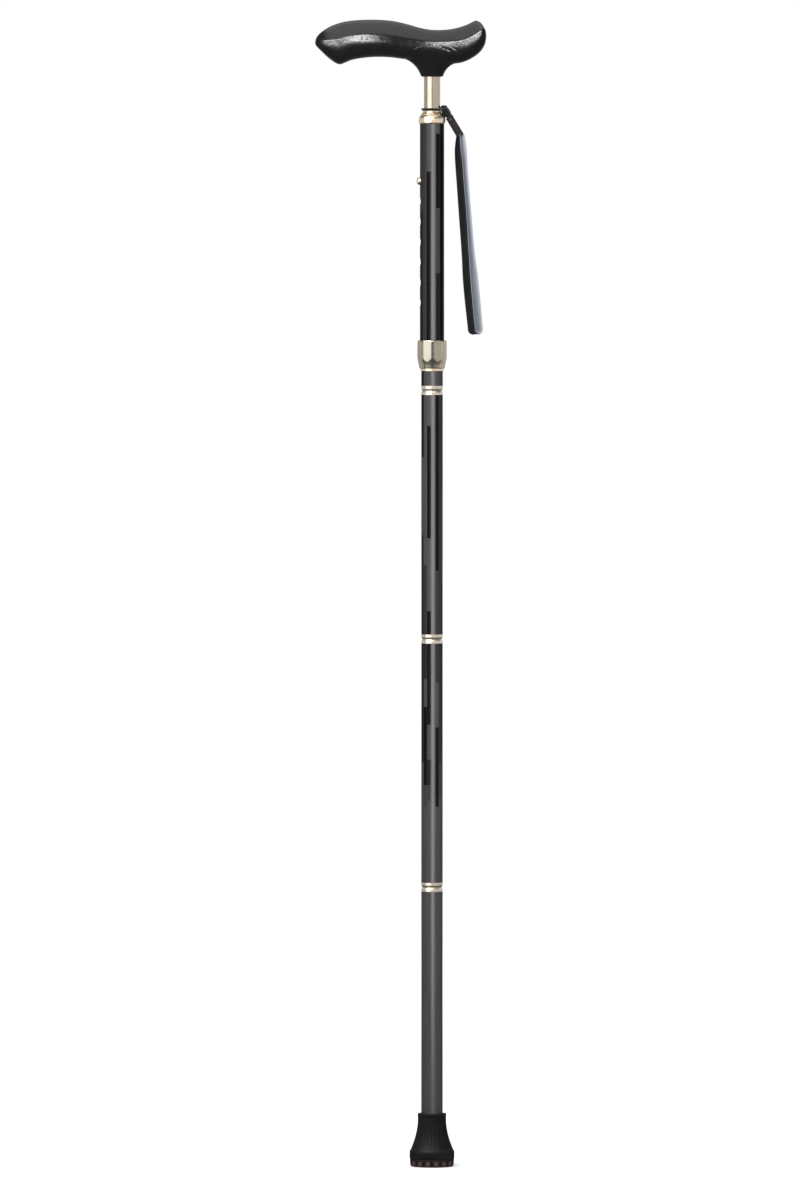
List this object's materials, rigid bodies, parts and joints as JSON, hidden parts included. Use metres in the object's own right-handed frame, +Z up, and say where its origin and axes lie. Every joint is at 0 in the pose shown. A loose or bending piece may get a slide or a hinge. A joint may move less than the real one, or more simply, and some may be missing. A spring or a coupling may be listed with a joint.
{
  "type": "folding walking cane",
  "caption": "Folding, height-adjustable black walking cane with a leather-look T handle, gold collars, a wrist strap and a flared rubber tip.",
  "frame": {"origin": "centre of the rubber tip's ground face, on the shaft's axis", "axes": "+Z up the shaft to the handle, -X along the handle's long arm, which is on the user's side, +Y to the left of someone who holds it with the short lobe forwards"},
  "size_m": [0.1269, 0.0332, 0.8493],
  "materials": {
    "grip_core": "moulded, hidden under the cover",
    "grip_leather": "smooth black leather-look skin, semi-gloss",
    "gold_metal": "polished champagne gold anodised",
    "rose_gold_metal": "polished peach gold anodised",
    "patterned_tube": "satin dark grey with black upright bars",
    "plain_tube": "satin dark grey",
    "steel": "plain",
    "nylon": "moulded nylon",
    "elastic": "braided elastic cord",
    "tip_rubber": "matte moulded rubber",
    "tread_rubber": "matte brown-black tread rubber",
    "strap_cord": "tight black cord",
    "strap_leather": "grained dark brown",
    "strap_band": "black outside, pale grey lining"
  },
  "bodies": {
    "upper_shaft": {"grip_core": "grip_core", "grip_cover": "grip_leather", "neck_post": "gold_metal", "neck_pin": "steel", "neck_bush": "nylon", "top_ferrule": "rose_gold_metal", "upper_tube": "patterned_tube", "threaded_sleeve": "gold_metal"},
    "sliding_tube": {"inner_tube": "patterned_tube", "inner_bush": "nylon", "button_spring": "steel", "cord_anchor_top": "nylon", "elastic_cord": "elastic", "socket_1": "gold_metal"},
    "button": {"snap_button": "rose_gold_metal"},
    "collet": {"lock_collet": "rose_gold_metal"},
    "nut": {"lock_nut": "gold_metal"},
    "section_2": {"spigot_2": "rose_gold_metal", "tube_2": "patterned_tube", "socket_2": "gold_metal"},
    "section_3": {"spigot_3": "rose_gold_metal", "tube_3": "patterned_tube", "socket_3": "gold_metal"},
    "section_4": {"spigot_4": "rose_gold_metal", "tube_4": "plain_tube", "cord_anchor_bottom": "nylon", "tip_washer": "steel", "rubber_tip": "tip_rubber", "tip_tread": "tread_rubber"},
    "strap_collar": {"strap_loop": "strap_cord", "strap_knot": "strap_cord"},
    "strap": {"strap_sleeve": "strap_leather", "strap_rivet": "steel", "strap_band": "strap_band"}
  },
  "joints": [
    {"name": "height_slide", "type": "slide", "parent": "upper_shaft", "child": "sliding_tube", "axis": [0, 0, -1], "range_m": [0, 0.09]},
    {"name": "button_press", "type": "slide", "parent": "sliding_tube", "child": "button", "axis": [1, 0, 0], "range_m": [0, 0.0036], "stiffness_N_per_m": 1500, "springref_m": -0.002, "deforming": ["button_spring"]},
    {"name": "collet_slide", "type": "slide", "parent": "upper_shaft", "child": "collet", "axis": [0, 0, -1], "range_m": [0, 0.0015]},
    {"name": "nut_turn", "type": "hinge", "parent": "collet", "child": "nut", "pos_m": [0, 0, 0.6], "axis": [0, 0, -1], "range_deg": [0, 360]},
    {"name": "fold_pull_1", "type": "slide", "parent": "sliding_tube", "child": "section_2", "axis": [0, 0, -1], "range_m": [0, 0.036], "stiffness_N_per_m": 150, "springref_m": -0.12, "deforming": ["elastic_cord"]},
    {"name": "fold_pull_2", "type": "slide", "parent": "section_2", "child": "section_3", "axis": [0, 0, -1], "range_m": [0, 0.036], "stiffness_N_per_m": 150, "springref_m": -0.12, "deforming": ["elastic_cord"]},
    {"name": "fold_pull_3", "type": "slide", "parent": "section_3", "child": "section_4", "axis": [0, 0, -1], "range_m": [0, 0.036], "stiffness_N_per_m": 150, "springref_m": -0.12, "deforming": ["elastic_cord"]},
    {"name": "strap_swivel", "type": "hinge", "parent": "upper_shaft", "child": "strap_collar", "pos_m": [0, 0, 0.785], "axis": [0, 0, 1], "continuous": true},
    {"name": "strap_swing", "type": "hinge", "parent": "strap_collar", "child": "strap", "pos_m": [0.0107, 0, 0.7806], "axis": [0, -1, 0], "range_deg": [0, 80]}
  ],
  "couplings": [
    {"joint": "collet_slide", "follows": "nut_turn", "m_per_rad": 0.00023873}
  ]
}
